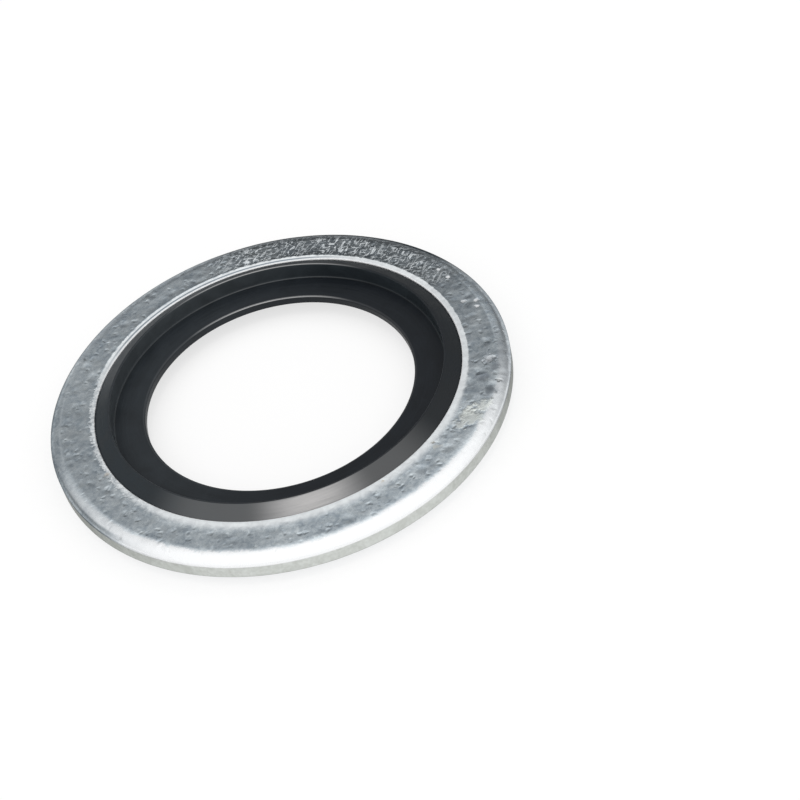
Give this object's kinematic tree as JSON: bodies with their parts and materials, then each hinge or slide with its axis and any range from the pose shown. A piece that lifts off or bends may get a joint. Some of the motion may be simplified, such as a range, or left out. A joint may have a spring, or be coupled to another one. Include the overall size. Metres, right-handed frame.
{
  "type": "bonded sealing washer",
  "caption": "Self-centring bonded sealing washer: a flat zinc-plated steel ring with a moulded rubber bead and a centring lip in its bore, for sealing a threaded joint.",
  "frame": {"origin": "on the washer's axis, in the plane that the crest of the lower bead touches", "axes": "+Z along the washer's axis, upwards as it lies flat; X and Y across it, with no preferred direction"},
  "size_m": [0.024, 0.024, 0.0023],
  "materials": {
    "zinc_plated_steel": "tumbled zinc plate, mottled blue-grey, with a bright burnished land round the bore",
    "black_rubber": "moulded nitrile rubber, satin on the bead's flank and matt on the membrane"
  },
  "bodies": {
    "root": {"metal_ring": "zinc_plated_steel", "rubber_seal": "black_rubber"}
  },
  "joints": []
}
